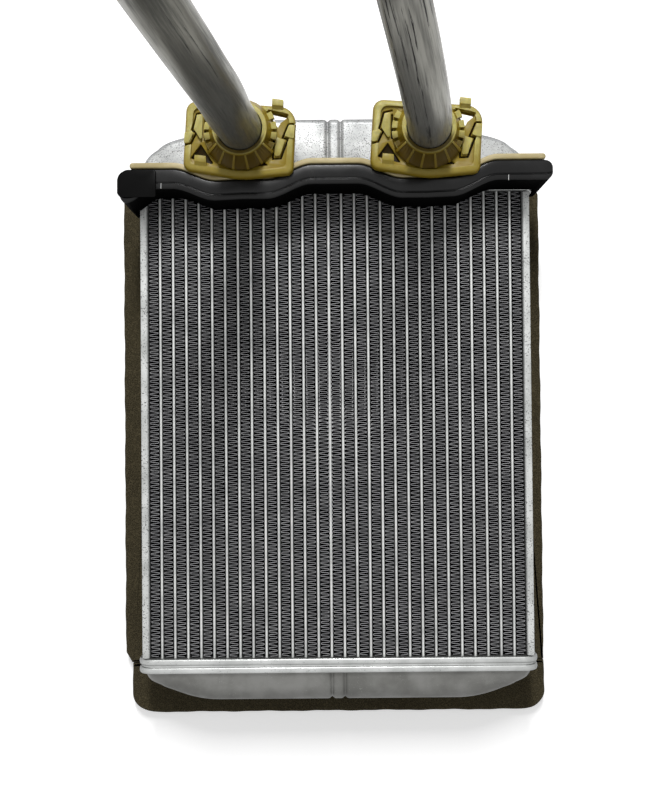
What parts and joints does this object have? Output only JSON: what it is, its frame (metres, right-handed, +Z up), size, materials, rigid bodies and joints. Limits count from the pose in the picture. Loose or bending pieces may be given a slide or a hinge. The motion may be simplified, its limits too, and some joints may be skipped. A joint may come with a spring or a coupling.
{
  "type": "heater core",
  "caption": "Brazed tube-and-fin heater core with two bent port pipes, retainer clips, a wavy rim seal and a foam frame on its back.",
  "frame": {"origin": "middle of the part's footprint, at the height of the foam's underside that it lies on", "axes": "+X across the tubes towards the right port, +Y along the tubes towards the tank with the ports, +Z up, out of the front face"},
  "size_m": [0.2056, 0.3122, 0.2356],
  "materials": {
    "matrix": "brazed, satin",
    "fin": "brazed, satin",
    "tank": "satin",
    "pipe": "dull, scuffed",
    "clip": "amber, slightly translucent",
    "carrier": "tan, satin",
    "seal": "matt",
    "foam": "open foam, matt"
  },
  "bodies": {
    "root": {"tube_bank": "matrix", "top_header": "matrix", "side_plate_left": "matrix", "side_plate_right": "matrix", "bottom_tank": "tank", "top_tank": "tank", "tank_divider": "matrix", "port_collar_left": "tank", "port_collar_right": "tank", "o_ring_left": "seal", "o_ring_right": "seal", "pipe_left": "pipe", "pipe_right": "pipe", "retainer_clip_left": "clip", "retainer_clip_right": "clip", "rim_seal": "seal", "seal_carrier": "carrier", "seal_end_flap": "seal", "foam_left": "foam", "foam_right": "foam", "foam_bottom": "foam", "foam_top": "foam", "fin_01": "fin", "fin_02": "fin", "fin_03": "fin", "fin_04": "fin", "fin_05": "fin", "fin_06": "fin", "fin_07": "fin", "fin_08": "fin", "fin_09": "fin", "fin_10": "fin", "fin_11": "fin", "fin_12": "fin", "fin_13": "fin", "fin_14": "fin", "fin_15": "fin", "fin_16": "fin", "fin_17": "fin", "fin_18": "fin", "fin_19": "fin", "fin_20": "fin", "fin_21": "fin", "fin_22": "fin", "fin_23": "fin", "fin_24": "fin", "fin_25": "fin", "fin_26": "fin", "fin_27": "fin", "fin_28": "fin", "fin_29": "fin"}
  },
  "joints": []
}
